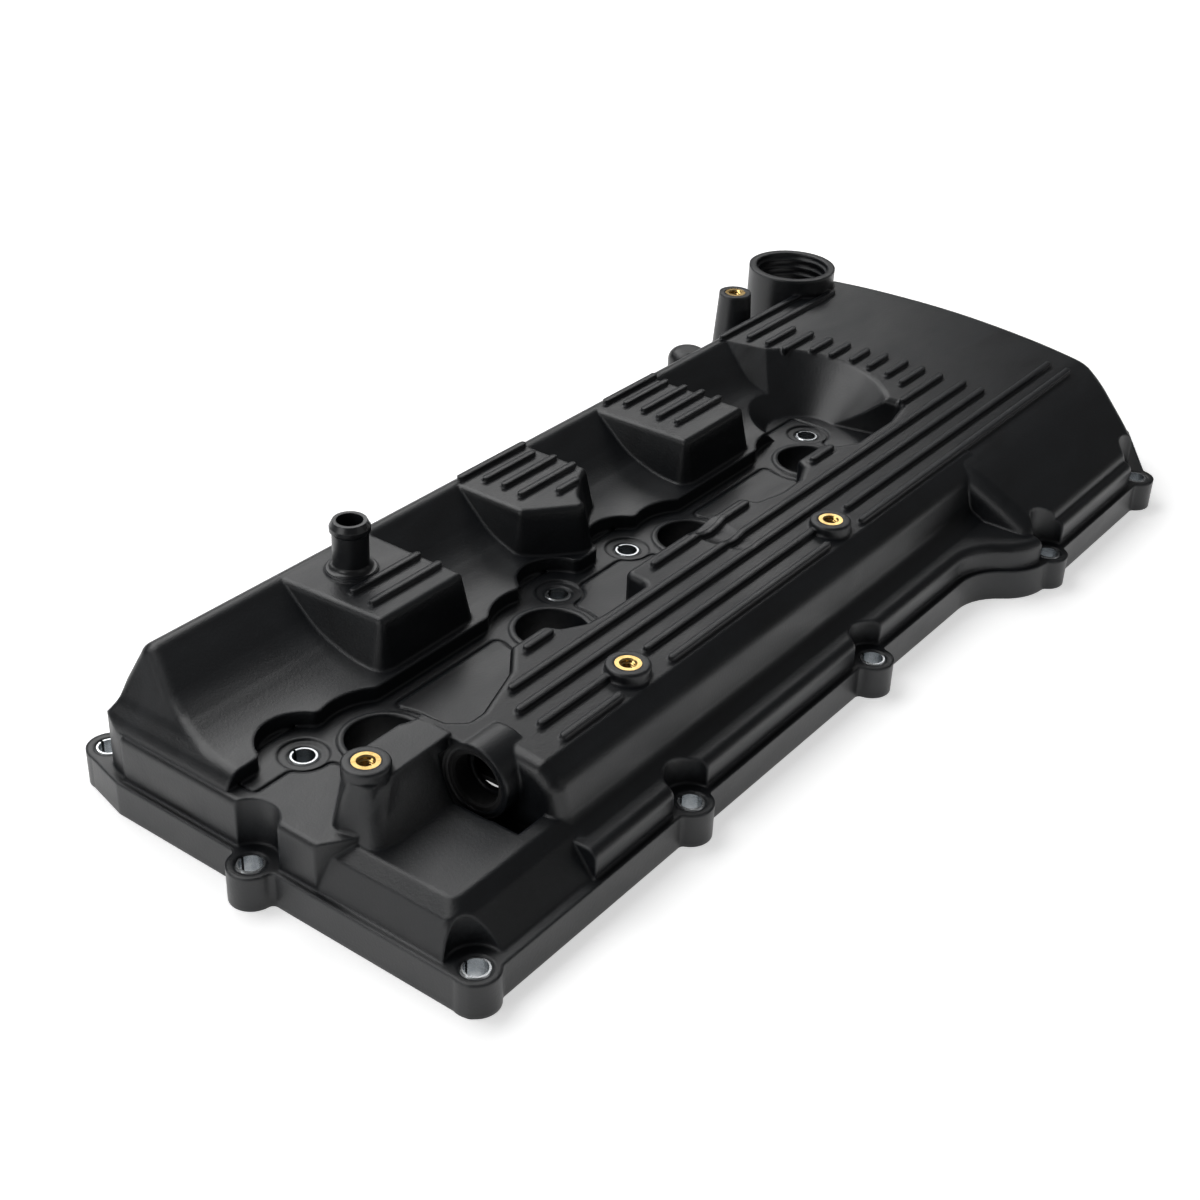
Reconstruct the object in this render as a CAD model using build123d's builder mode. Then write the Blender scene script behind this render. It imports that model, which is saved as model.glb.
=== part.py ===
"""Moulded cam cover for a 2.7 litre twin-cam inline four: one glass-filled
nylon moulding with its hose nipple, steel bolt sleeves, brass inserts, plug
tube seals, gasket and oil baffles.

Plan positions are written from two datums of the engine: x along the plug row
from the first plug hole, y across it from the line of the four centre bolts.
at() turns them into the part's own frame, whose origin is the middle of the
cover on the sealing plane.  +Z is up, towards the coils; millimetres.
"""
from build123d import *
import os
from math import atan, atan2, cos, sin

os.makedirs("parts", exist_ok=True)

# ---------------------------------------------------------------- datums
MID_X = 208.5
MID_Y = -19.5
UPWARD = (Align.CENTER, Align.CENTER, Align.MIN)
DOWNWARD = (Align.CENTER, Align.CENTER, Align.MAX)
# a run reaches this far into the next, so that the two join as one solid
OVERRUN = 10.0
# cutting tools run this far, clear past all that they cut
CUT_H = 40.0
CUT_W = 100.0
CUT_L = 800.0


def at(x, y, z=0.0):
    """Engine position to part frame."""
    return (x - MID_X, y - MID_Y, z)


def ats(points):
    """A list of engine plan positions in the part frame."""
    return [at(x, y) for x, y in points]


def across(points):
    """Engine (y, height) pairs as points of a section lying across the cover."""
    return [(y - MID_Y, z) for y, z in points]


# ---------------------------------------------------------------- levels
FLANGE_H = 15.0
DECK_Z = 35.5
LEFT_TOP_Z = 63.5
TOP_SLOPE = 0.078
TOP_LEVEL_Y = 65.5
WALL = 3.0
LAND_W = 8.5


def top_z(y):
    """Height of the gently tilted top plane at engine y."""
    return LEFT_TOP_Z - TOP_SLOPE * (TOP_LEVEL_Y - y)


# ---------------------------------------------------------------- plug row
PLUG_PITCH = 102.5
PLUG_COUNT = 4
PLUG_Y = -17.0
PLUG_BORE_R = 15.5
PLUG_TUBE_R = 20.5
PLUG_TUBE_END_Z = 2.0
PLUG_LIP_R = 18.0
PLUG_LIP_H = 1.0
PLUG_CLEAR_R = 26.5
plugs = [(i * PLUG_PITCH, PLUG_Y) for i in range(PLUG_COUNT)]

# ---------------------------------------------------------------- bolts
SLEEVE_R = 5.75
SLEEVE_BORE_R = 4.5
CENTRE_STEP = 26.0
CENTRE_BOSS_R = 10.0
CENTRE_CLEAR_R = 18.0
CENTRE_DISH = 0.8
centre_bolts = [
    (-CENTRE_STEP, 0.0),
    (PLUG_PITCH + CENTRE_STEP, 0.0),
    (2 * PLUG_PITCH - CENTRE_STEP, 0.0),
    (3 * PLUG_PITCH + CENTRE_STEP, 0.0),
]
FLANGE_BOSS_R = 9.3
FLANGE_BLEND = 2.5
BOLT_POCKET_R = 11.5
near_bolts = [(-51.3, 82.3), (-66.4, -12.2), (-56.6, -110.6)]
right_bolts = [(66.2, -114.4), (200.9, -117.3), (337.7, -135.6), (441.8, -135.6)]
far_bolts = [(483.25, -50.0), (486.0, 36.0), (483.25, 78.0)]
left_bolts = [(340.0, 84.0), (206.0, 84.0), (76.0, 84.0)]
flange_bolts = near_bolts + right_bolts + far_bolts + left_bolts

# ---------------------------------------------------------------- outlines
NEAR_X = -65.5
FAR_X = 492.0
RIGHT_Y = -117.0
WIDE_Y = -139.5
LEFT_Y = 88.5
STEP_START_X = 285.0
STEP_END_X = 330.0
WIDE_END_X = 446.0
FAR_CUT_Y = -110.0
LEDGE = 3.0


def outline(inset, corner):
    """Plan of the cover moved inwards by inset, its corners rounded."""
    near = NEAR_X + inset
    far = FAR_X - inset
    right = RIGHT_Y + inset
    wide = WIDE_Y + inset
    left = LEFT_Y - inset
    lean = inset / 2
    turn = 2 * atan2(right - wide, STEP_END_X - STEP_START_X)
    step_mid = at((STEP_START_X + STEP_END_X) / 2, (right + wide) / 2)
    with BuildSketch() as plan:
        with BuildLine():
            Polyline(
                at(STEP_END_X, wide),
                at(WIDE_END_X - lean, wide),
                at(far, FAR_CUT_Y + lean),
                at(far, 74),
                at(far - 12, left),
                at(-50 + inset, left),
                at(-60.5 + inset, 83 - lean),
                at(near, 62),
                at(near, right),
                at(STEP_START_X, right),
            )
            TangentArc(at(STEP_START_X, right), step_mid, tangent=(1, 0))
            TangentArc(step_mid, at(STEP_END_X, wide), tangent=(cos(turn), -sin(turn)))
        make_face()
        fillet(plan.vertices().filter_by(off_step), corner)
    return plan.sketch


def off_step(vertex):
    """True for the plan's real corners, false along the side step."""
    x = vertex.X + MID_X
    y = vertex.Y + MID_Y
    return not (STEP_START_X - 1 < x < STEP_END_X + 1 and y < 0)


# ---------------------------------------------------------------- sections
FOOT_Z = 14.0
TOP_EDGE_Y = -86.0
BANK_NEAR_X = 6.0
LEFT_NEAR_X = -61.0
BROAD_X = 324.0
BROAD_LEFT_X = 341.0
FLANK_X = 349.0
FLANK_Y = 66.0
flank_points = [(5, 4.5), (-34, -30), (-70, -30), (-70, 15), (5, 15)]
FLANK_RUN = (21.0, -42.0, 0.0)
end_wall = [(452, 90), (467, 66), (478, 33), (484.5, 0), (486.5, -30), (485.5, -60), (481.5, -86)]
END_CUT = (436.0, -146.0)
END_CUT_ROUND = 14.0
END_SHIFT = 1.25
END_BEYOND_X = 600.0
STEP_ROUND = 8.0
END_ROUND = 6.0
BANK_ROUND = 6.0
LIP_ROUND = 3.0

bank_points = [
    (-25, FOOT_Z), (-113.5, FOOT_Z), (-111.5, 20), (-106, 27), (-98.5, 30.5), (-94.5, 46),
    (TOP_EDGE_Y, top_z(TOP_EDGE_Y)), (-25, top_z(-25)),
]
bank_radii = [0, 0, 0, 4, 6, 8, 0, 0]
left_points = [
    (84.5, FOOT_Z), (82.5, 20), (76, 36), (68.7, 67.3), (42, 48.6), (22, 42.6), (0, 42), (0, FOOT_Z),
]
left_radii = [0, 0, 20, 5.5, 40, 60, 0, 0]
slope_points = [
    (-30, top_z(-30)), (-80, top_z(-80)), (-96, 48.5), (-118, 38), (-130.5, 31), (-135, 20),
    (-137, FOOT_Z), (-30, FOOT_Z),
]
slope_radii = [0, 30, 60, 30, 6, 0, 0, 0]
broad_points = [
    (84.5, FOOT_Z), (82.5, 20), (76, 36), (69, top_z(69)), (-80, top_z(-80)), (-96, 48.5),
    (-118, 38), (-130.5, 31), (-135, 20), (-137, FOOT_Z),
]
broad_radii = [0, 0, 20, 7, 30, 60, 30, 6, 0, 0]
brow_points = [
    (84.5, FOOT_Z), (82.5, 20), (76, 36), (69, top_z(69)), (-30, top_z(-30)), (-30, FOOT_Z),
]
brow_radii = [0, 0, 20, 7, 0, 0]


def prism(points, radii, start, end, inset):
    """A section lying across the cover run from engine x start to end, moved inwards by inset."""
    with BuildPart() as run:
        with BuildSketch(Plane.YZ.offset(start + inset - MID_X)):
            with BuildLine():
                FilletPolyline(*across(points), radius=radii, close=True)
            make_face()
            if inset:
                offset(amount=-inset, kind=Kind.INTERSECTION, mode=Mode.REPLACE)
        extrude(amount=end - start - 2 * inset)
    return run.part


def end_round(part, index, radius):
    """Round one end face of a prism, leaving the edges below the deck alone."""
    with BuildPart() as rounded:
        add(part)
        end = rounded.faces().filter_by(Axis.X).sort_by(Axis.X)[index]
        soft = end.edges().filter_by(lambda edge: edge.center().Z > FOOT_Z + 1 and not upright(edge))
        fillet(soft, radius)
    return rounded.part


def upright(edge):
    """True for a vertical straight edge."""
    return abs(edge.tangent_at(0.5).Z) > 0.99


def end_cutter(inset):
    """Everything beyond the bowed far end wall and its cut right corner, brought in by inset."""
    shift = END_SHIFT * inset
    with BuildPart() as cutter:
        with BuildSketch(Plane.XY.offset(FOOT_Z - 5)) as plan:
            with BuildLine():
                bow = Spline(*ats([(x - shift, y) for x, y in end_wall]))
                Polyline(
                    bow @ 1, at(END_CUT[0] - shift, END_CUT[1]), at(END_BEYOND_X, END_CUT[1]),
                    at(END_BEYOND_X, end_wall[0][1]), bow @ 0,
                )
            make_face()
            fillet(plan.vertices().filter_by(on_bow_end), END_CUT_ROUND)
        extrude(amount=80)
    return cutter.part


def on_bow_end(vertex):
    """True for the corner between the bowed end wall and its right cut."""
    return abs(vertex.Y + MID_Y - end_wall[-1][1]) < 1


def flank_cutter(inset):
    """The sloping near face of the broad end above the left bank, as a cutter."""
    start = at(FLANK_X - FLANK_RUN[0], FLANK_Y - FLANK_RUN[1], LEFT_TOP_Z)
    lie = Plane(origin=start, x_dir=(-FLANK_RUN[1], FLANK_RUN[0], 0), z_dir=FLANK_RUN)
    with BuildPart() as cutter:
        with BuildSketch(lie):
            with BuildLine():
                Polyline(*flank_points, close=True)
            make_face()
            if inset:
                offset(amount=inset, kind=Kind.INTERSECTION, mode=Mode.REPLACE)
        extrude(amount=100)
    return cutter.part


# ---------------------------------------------------------------- blocks
BLOCK_TAPER = 12
BLOCK_CORNER = 8.0
BLOCK_BROW = 2.5
block_plans = [
    [(24, 5), (84, 5), (84, 74), (20, 74)],
    [(129, 24), (137, 16.5), (153, 4), (162, 4), (167, 12), (180, 21), (192, 26), (192, 74), (129, 74)],
    [(233, 5), (293, 5), (293, 74), (231, 74)],
]


def block(plan, corner, inset):
    """One of the three tapered blocks standing on the left bank, moved inwards by inset."""
    with BuildPart() as tapered:
        with BuildSketch(Plane.XY.offset(DECK_Z - inset)) as raised:
            with BuildLine():
                Polyline(*ats(plan), close=True)
            make_face()
            if inset:
                offset(amount=-inset, kind=Kind.INTERSECTION, mode=Mode.REPLACE)
            if corner:
                fillet(raised.vertices(), corner)
        extrude(amount=LEFT_TOP_Z - DECK_Z, taper=BLOCK_TAPER)
        if not inset:
            fillet(tapered.faces().sort_by(Axis.Z)[-1].edges(), BLOCK_BROW)
    return tapered.part


# ---------------------------------------------------------------- leaning near end
LEAN_X = -40.0
LEAN_Z = 65.5
NEAR_LEFT_ROUND = 24.0
lean_points = [(-61, 28), (-60.5, 38), (-53, 44), (LEAN_X, LEAN_Z), (LEAN_X, 85), (-95, 85), (-95, 28)]
lean_radii = [0, 8, 12, 0, 0, 0, 0]


def lean_cutter(inset):
    """Everything outside the leaning near end of the left bank, widened by inset."""
    with BuildPart() as cutter:
        with BuildSketch(Plane.XZ.offset(-110)):
            with BuildLine():
                FilletPolyline(*[(x - MID_X, z) for x, z in lean_points], radius=lean_radii, close=True)
            make_face()
            if inset:
                offset(amount=inset, kind=Kind.INTERSECTION, mode=Mode.REPLACE)
        extrude(amount=125)
    return cutter.part


def near_left_cutter(inset):
    """Everything outside the rounded near left corner above the flange, widened by inset."""
    radius = NEAR_LEFT_ROUND - inset
    with BuildPart() as cutter:
        with BuildSketch(Plane.XY.offset(FLANGE_H - inset)):
            with Locations(at(LEFT_NEAR_X - 10, LEFT_Y + 10)):
                Rectangle(NEAR_LEFT_ROUND + 10, NEAR_LEFT_ROUND + 14, align=(Align.MIN, Align.MAX))
            with Locations(at(LEFT_NEAR_X + NEAR_LEFT_ROUND, LEFT_Y - 4 - NEAR_LEFT_ROUND)):
                Circle(radius, mode=Mode.SUBTRACT)
        extrude(amount=60)
    return cutter.part


# ---------------------------------------------------------------- valley
VALLEY_ROUND = 3.5
SCOOP_X = 334.0
SCOOP_Y = 2.5
SCOOP_R = 19.0
SCOOP_TOP_R = 51.0
SCOOP_H = 30.0
valley_points = [
    (-90, 4.6), (-26, 4.6), (-26, 3), (335, 3), (352, -4), (355, -20), (360, -38), (340, -42),
    (308, -42), (298, -37), (290, -31), (271, -31), (268, -36), (256, -41), (240, -41.5),
    (224, -38), (221, -31), (133, -31), (133, -43), (104, -43), (92, -42), (82, -37), (78, -31),
    (58, -31), (45, -41), (18, -50), (10, -50), (4, -44), (2, -31), (-10, -31), (-90, -31),
]


def valley(inset):
    """The sunk deck between the banks as a cutter, widened by inset."""
    with BuildSketch() as plan:
        with Locations(*ats(centre_bolts)):
            Circle(CENTRE_CLEAR_R)
        with Locations(*ats(plugs)):
            Circle(PLUG_CLEAR_R)
        with Locations(at(150, -131)):
            Rectangle(700, 200, mode=Mode.SUBTRACT)
        with BuildLine():
            Polyline(*ats(valley_points), close=True)
        make_face()
        offset(amount=VALLEY_ROUND, kind=Kind.ARC, mode=Mode.REPLACE)
        offset(amount=-2 * VALLEY_ROUND, kind=Kind.ARC, mode=Mode.REPLACE)
        offset(amount=VALLEY_ROUND + inset, kind=Kind.ARC, mode=Mode.REPLACE)
    with BuildPart() as cutter:
        with BuildSketch(Plane.XY.offset(DECK_Z - inset)):
            add(plan.sketch)
        extrude(amount=40)
        with Locations(at(SCOOP_X, SCOOP_Y, DECK_Z - inset)):
            Cone(SCOOP_R + inset, SCOOP_TOP_R + inset, SCOOP_H, align=UPWARD)
    return cutter.part


# ---------------------------------------------------------------- near right corner
PORT_Y = -63.5
PORT_Z = DECK_Z + 4.0
PORT_BORE_R = 10.4
PORT_HOOD_R = 15.5
PORT_SEAT_R = 12.8
PORT_SEAT_D = 8.5
PORT_PASSAGE_R = 8.5
PORT_HOOD_L = 18.0
PORT_MOUTH_L = 7.5
PORT_FACE_X = -2.0
SLOT_X = -9.0
SLOT_FLOOR_Z = 22.0
PLATFORM_Y = -50.0
tower_plans = [
    (21.0, 6.0, [(-56, -36), (-24, -11), (-12, -15), (-1, -30), (-1, -68), (-48, -68)]),
    (38.0, 5.0, [(-51.5, -40), (-24, -20), (-12, -20), (-1, -30), (-1, -57), (-46, -57)]),
    (55.2, 4.0, [(-47.5, -43), (-32, -33.5), (-14, -33.5), (-1, -33.5), (-1, -51.5), (-45, -52.5)]),
]
SLOT_END_Y = -90.0
CORNER_FAR_X = 14.0
corner_foot = [(-62.5, -38), (-62.5, -113.5), (CORNER_FAR_X, -113.5), (CORNER_FAR_X, -38)]
corner_knee = [(-57, -38), (-57, -102), (CORNER_FAR_X, -102), (CORNER_FAR_X, -38)]
corner_head = [(-50.5, -38), (-50.5, -96), (CORNER_FAR_X, -96), (CORNER_FAR_X, -38)]
CORNER_KNEE_Z = 28.2
CORNER_HEAD_Z = 32.5
CORNER_ROUND = 9.0
CORNER_RIM = 2.0
corner_break = [(-90, -40), (-64, -40), (-50, -50), (BANK_NEAR_X, -50), (BANK_NEAR_X, -130), (-90, -130)]


def tower(inset):
    """The tower at the near end, moved inwards by inset."""
    with BuildPart() as lofted:
        for level, radius, plan in tower_plans:
            with BuildSketch(Plane.XY.offset(level - inset if level > DECK_Z else level)) as section:
                with BuildLine():
                    Polyline(*ats(plan), close=True)
                make_face()
                if inset:
                    offset(amount=-inset, kind=Kind.INTERSECTION, mode=Mode.REPLACE)
                soft = section.vertices().filter_by(lambda vertex: vertex.X + MID_X < -38)
                fillet(soft, radius - inset)
        loft()
    return lofted.part


def frustum(foot, foot_z, head, head_z, inset):
    """A solid between two plans of equal corner count, moved inwards by inset."""
    with BuildPart() as solid:
        for plan, level in ((foot, foot_z), (head, head_z - inset)):
            with BuildSketch(Plane.XY.offset(level)):
                with BuildLine():
                    Polyline(*ats(plan), close=True)
                make_face()
                if inset:
                    offset(amount=-inset, kind=Kind.INTERSECTION, mode=Mode.REPLACE)
        loft(ruled=True)
    return solid.part


def on_lip(edge):
    """True for the top plane's wavy edge along the sunk deck."""
    middle = edge.center()
    past_hood = middle.X + MID_X > BANK_NEAR_X + 3
    past_shoulder = middle.Y + MID_Y > PLATFORM_Y - 6
    before_flank = middle.Y + MID_Y < 12
    return past_hood and past_shoulder and before_flank


def outer_corner(edge):
    """True for the two leaning edges at the near right corner of the cover."""
    middle = edge.center()
    leaning = abs(edge.tangent_at(0.5).Z) > 0.3
    return leaning and middle.X + MID_X < -40 and middle.Y + MID_Y < -90


def not_on_slot(edge):
    """True for the platform's rim on its near and right sides."""
    middle = edge.center()
    return middle.X + MID_X < CORNER_FAR_X - 1 and middle.Y + MID_Y < -39


def on_far_rim(edge):
    """True for the edge where the broad end's outer skin meets its far wall."""
    middle = edge.center()
    far = middle.X + MID_X > 430
    along = abs(edge.tangent_at(0.5).X) < 0.95
    return far and along and middle.Z > FOOT_Z + 8 and abs(edge.tangent_at(0.5).Z) < 0.97


def in_top_plane(face):
    """True for a flat face lying in the tilted top plane."""
    centre = face.center()
    return face.geom_type == GeomType.PLANE and abs(centre.Z - top_z(centre.Y + MID_Y)) < 0.05


# ---------------------------------------------------------------- outer form
DECK_ROUND = 2.5
SHOULDER_Z = 27.0
SHOULDER_Y = -92.0
SHOULDER_ROUND = 4.0
LEAN_ROUND = 6.0
FAR_POCKET_Z = 46.0
TROUGH_X = 187.5
TROUGH_R = 22.0
TROUGH_D = 3.5
TROUGH_END_Y = -66.0

wall_plan = outline(LEDGE, 8)
beyond_end = end_cutter(0)

with BuildPart() as slab:
    with BuildSketch(Plane.XY.offset(FOOT_Z)):
        add(wall_plan)
    extrude(amount=SHOULDER_Z - FOOT_Z)
    fillet(slab.faces().sort_by(Axis.Z)[-1].edges(), SHOULDER_ROUND)
    with BuildSketch(Plane.XY.offset(FOOT_Z)):
        add(wall_plan)
        with Locations(at(MID_X, SHOULDER_Y)):
            Rectangle(CUT_L, CUT_W, align=(Align.CENTER, Align.MAX), mode=Mode.SUBTRACT)
    extrude(amount=DECK_Z - FOOT_Z)
    fillet(slab.faces().sort_by(Axis.Z)[-1].edges(), DECK_ROUND)
    add(beyond_end, mode=Mode.SUBTRACT)

left_run = prism(left_points, left_radii, LEFT_NEAR_X, BROAD_LEFT_X + OVERRUN, 0)
outside_lean = lean_cutter(0)
with BuildPart() as left_bank:
    add(left_run)
    add(outside_lean, mode=Mode.SUBTRACT)
    near_faces = left_bank.faces().filter_by(
        lambda face: face.center().X + MID_X < LEAN_X + 2 and face.normal_at().X < -0.3
    )
    lean_edges = near_faces.edges().filter_by(
        lambda edge: edge.center().Z > 2 * FOOT_Z and abs(edge.tangent_at(0.5).X) > 0.1
    ).filter_by(lambda edge: edge.center().Y + MID_Y > 20)
    fillet(lean_edges, LEAN_ROUND)

bank_run = end_round(prism(bank_points, bank_radii, BANK_NEAR_X, BROAD_LEFT_X, 0), 0, BANK_ROUND)
slope_run = end_round(prism(slope_points, slope_radii, BROAD_X, BROAD_LEFT_X + OVERRUN, 0), 0, STEP_ROUND)
broad_run = prism(broad_points, broad_radii, BROAD_LEFT_X, FAR_X + OVERRUN, 0)
brow_run = prism(brow_points, brow_radii, BROAD_X, BROAD_LEFT_X + OVERRUN, 0)
flank_cut = flank_cutter(0)

with BuildPart() as broad:
    add(broad_run)
    add(brow_run)
    add(flank_cut, mode=Mode.SUBTRACT)
    add(beyond_end, mode=Mode.SUBTRACT)
    fillet(broad.edges().filter_by(on_far_rim), END_ROUND)
valley_cut = valley(0)
with BuildPart() as right_mass:
    add(bank_run)
    add(slope_run)
    add(broad.part)
    with BuildSketch(Plane.YZ.offset(PORT_FACE_X - MID_X)):
        with Locations(*across([(PORT_Y, PORT_Z)])):
            Circle(PORT_HOOD_R)
        with BuildLine():
            Polyline(
                *across([
                    (-30, 20), (PORT_Y, 20), (PORT_Y, PORT_Z + PORT_HOOD_R),
                    (-60, top_z(-60)), (-30, top_z(-30)),
                ]),
                close=True,
            )
        make_face()
    extrude(amount=PORT_HOOD_L)
    add(valley_cut, mode=Mode.SUBTRACT)
    lip_edges = right_mass.faces().filter_by(in_top_plane).edges().filter_by(on_lip)
    fillet(lip_edges, LIP_ROUND)

tower_solid = tower(0)
corner_low = frustum(corner_foot, FOOT_Z, corner_knee, CORNER_KNEE_Z, 0)
corner_high = frustum(corner_knee, CORNER_KNEE_Z, corner_head, CORNER_HEAD_Z, 0)
block_solids = [block(plan, BLOCK_CORNER, 0) for plan in block_plans]

with BuildPart() as corner:
    add(corner_low)
    add(corner_high)
    fillet(corner.edges().filter_by(outer_corner), CORNER_ROUND)
    fillet(corner.faces().sort_by(Axis.Z)[-1].edges().filter_by(not_on_slot), CORNER_RIM)
# ---------------------------------------------------------------- ribs
RIB_W = 3.0
RIB_H = 2.0
RIB_ROOT = 5.0
top_ribs = [
    (-37.5, 58.5, 76), (-37.5, 144, 218), (-37.5, 273, 292), (-37.5, 359, 402),
    (-50, 34, 404), (-60.6, 25.6, 404),
    (-71.5, 25, 71), (-71.5, 92, 222), (-71.5, 247, 460),
    (-82.3, 25, 62), (-82.3, 94, 215), (-82.3, 242, 461),
    (65.8, 349, 441), (55.7, 360, 448), (45.3, 362, 390), (35.3, 363, 392), (24.5, 373, 394),
    (14.7, 376, 396), (4, 379, 398), (-6, 380, 400), (-17, 380, 402), (-27, 377, 402),
]
block_ribs = [
    (33.5, 36, 77), (22, 35, 77),
    (65, 138, 185), (56, 145, 181), (46, 146, 184), (35, 144, 184), (24.6, 158, 173),
    (64, 245, 288), (55.4, 250, 286), (44.7, 250, 287), (35, 249, 288), (25, 250, 288),
]
TROUGH_TILT = -1.3
top_plane = Plane(origin=at(0, 0, top_z(0)), x_dir=(1, 0, 0), z_dir=(0, -TOP_SLOPE, 1))
trough_mid_y = (TROUGH_END_Y - 25) / 2
trough_z = top_z(trough_mid_y) + TROUGH_R - TROUGH_D / 2


def trough(grown, raised):
    """The shallow hollow across the right bank, its radius grown or its axis raised."""
    with BuildPart() as hollow:
        with Locations(at(TROUGH_X, trough_mid_y, trough_z + raised)):
            Cylinder(TROUGH_R + grown, 25 - TROUGH_END_Y, rotation=(90 + TROUGH_TILT, 0, 0))
    return hollow.part


rib_hollow = trough(0, RIB_H)
with BuildPart() as ribs:
    with BuildSketch(top_plane.offset(-RIB_ROOT)):
        for y, start, end in top_ribs:
            with Locations(((start + end) / 2, y / cos(atan(TOP_SLOPE)))):
                SlotOverall(end - start, RIB_W)
    extrude(amount=RIB_ROOT + RIB_H)
    add(rib_hollow, mode=Mode.SUBTRACT)
    with BuildSketch(Plane.XY.offset(LEFT_TOP_Z - RIB_ROOT)):
        for y, start, end in block_ribs:
            with Locations(at((start + end) / 2, y)):
                SlotOverall(end - start, RIB_W)
    extrude(amount=RIB_ROOT + RIB_H)

# ---------------------------------------------------------------- bosses, neck and posts
INSERT_BOSS_R = 9.25
INSERT_R = 5.4
INSERT_BORE_R = 3.0
INSERT_L = 12.0
INSERT_HOLE_D = 13.0
BOSS_ROOT = 6.0
insert_bosses = [(-37.6, -43.6, 59.5), (76.0, -75.0, 57.0), (228.0, -75.0, 57.0)]
POST_X = 388.5
POST_Y = 83.3
POST_TOP_Z = 73.5
POST_TOP_R = 8.6
POST_FOOT_R = 12.0
POST_FOOT_Z = 20.0
insert_tops = insert_bosses + [(POST_X, POST_Y, POST_TOP_Z)]
WALL_BOSS_X = 335.0
WALL_BOSS_Y = 76.0
WALL_BOSS_TOP_Z = 60.0
WALL_BOSS_R = 10.5
WALL_BOSS_ROUND = 6.0
NECK_X = 443.5
NECK_Y = 81.3
NECK_TOP_Z = 73.5
NECK_R = 24.0
NECK_BORE_R = 20.0
NECK_WAIST_Z = 45.0
NECK_FOOT_Z = 17.0
NECK_FOOT_R = 12.0
NECK_FLOOR_Z = 32.0
NECK_FLOOR_R = 14.0
THREAD_H = 1.2
THREAD_W = 1.6
THREAD_PITCH = 4.5
THREAD_COUNT = 3
NIPPLE_X = 50.8
NIPPLE_Y = 47.2
NIPPLE_PAD_R = 11.0
NIPPLE_PAD_H = 1.2
NIPPLE_SOCKET_R = 8.0
NIPPLE_SOCKET_D = 3.0

with BuildPart() as stands:
    with Locations(*[at(x, y, z) for x, y, z in insert_bosses]):
        Cylinder(INSERT_BOSS_R, BOSS_ROOT, align=DOWNWARD)
    fillet(stands.faces().filter_by(Axis.Z).filter_by(lambda face: face.normal_at().Z > 0).edges(), 1.0)
    with Locations(at(POST_X, POST_Y, POST_FOOT_Z)):
        Cone(POST_FOOT_R, POST_TOP_R, POST_TOP_Z - POST_FOOT_Z, align=UPWARD)
    with Locations(at(WALL_BOSS_X, WALL_BOSS_Y, POST_FOOT_Z)):
        Cylinder(WALL_BOSS_R, WALL_BOSS_TOP_Z - POST_FOOT_Z, align=UPWARD)
    wall_boss_top = stands.faces().sort_by(lambda face: abs(face.center().Z - WALL_BOSS_TOP_Z))[0]
    fillet(wall_boss_top.edges(), WALL_BOSS_ROUND)
    with Locations(at(NIPPLE_X, NIPPLE_Y, LEFT_TOP_Z - 1)):
        Cylinder(NIPPLE_PAD_R, NIPPLE_PAD_H + 1, align=UPWARD)
    with BuildSketch(Plane.XZ.offset(MID_Y - NECK_Y)):
        with BuildLine():
            Polyline(
                (NECK_X - MID_X, NECK_FOOT_Z), (NECK_X - MID_X + NECK_FOOT_R, NECK_FOOT_Z),
                (NECK_X - MID_X + NECK_R, NECK_WAIST_Z), (NECK_X - MID_X + NECK_R, NECK_TOP_Z),
                (NECK_X - MID_X, NECK_TOP_Z), close=True,
            )
        make_face()
    revolve(axis=Axis(at(NECK_X, NECK_Y), (0, 0, 1)))

with BuildPart() as neck_bore:
    with BuildSketch(Plane.XZ.offset(MID_Y - NECK_Y)) as bore_half:
        with BuildLine():
            Polyline(
                (NECK_X - MID_X, NECK_FLOOR_Z), (NECK_X - MID_X + NECK_FLOOR_R, NECK_FLOOR_Z),
                (NECK_X - MID_X + NECK_FLOOR_R, NECK_WAIST_Z + 1),
                (NECK_X - MID_X + NECK_BORE_R, NECK_WAIST_Z + 1),
                (NECK_X - MID_X + NECK_BORE_R, NECK_TOP_Z + 1),
                (NECK_X - MID_X, NECK_TOP_Z + 1), close=True,
            )
        make_face()
        for turn in range(THREAD_COUNT):
            with Locations((NECK_X - MID_X + NECK_BORE_R, NECK_TOP_Z - 3.5 - turn * THREAD_PITCH)):
                Rectangle(2 * THREAD_H, THREAD_W, mode=Mode.SUBTRACT)
    revolve(axis=Axis(at(NECK_X, NECK_Y), (0, 0, 1)))

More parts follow.
